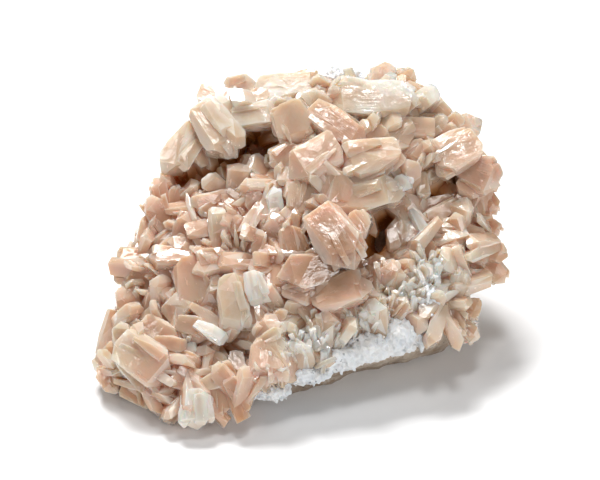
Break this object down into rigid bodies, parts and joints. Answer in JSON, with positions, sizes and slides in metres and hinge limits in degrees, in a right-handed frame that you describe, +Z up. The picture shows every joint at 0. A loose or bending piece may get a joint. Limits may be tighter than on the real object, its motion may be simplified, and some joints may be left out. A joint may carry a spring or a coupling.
{
  "type": "stilbite mineral specimen",
  "caption": "Hand-sized rock specimen faced with a crust of intergrown peach-pink stilbite blades, resting on its flat broken underside.",
  "frame": {"origin": "centre of the bounding box at the height of the surface that the specimen rests on", "axes": "+X to the right along the specimen's width, -Y towards the side that the crystals face, +Z up"},
  "size_m": [0.1244, 0.0994, 0.0761],
  "materials": {
    "stilbite": "milky, see-into, with a pearly to glassy gloss",
    "host_rock": "dull broken rock, white and sugary along the front edge"
  },
  "bodies": {
    "root": {"stilbite_crystals": "stilbite", "matrix": "host_rock"}
  },
  "joints": []
}
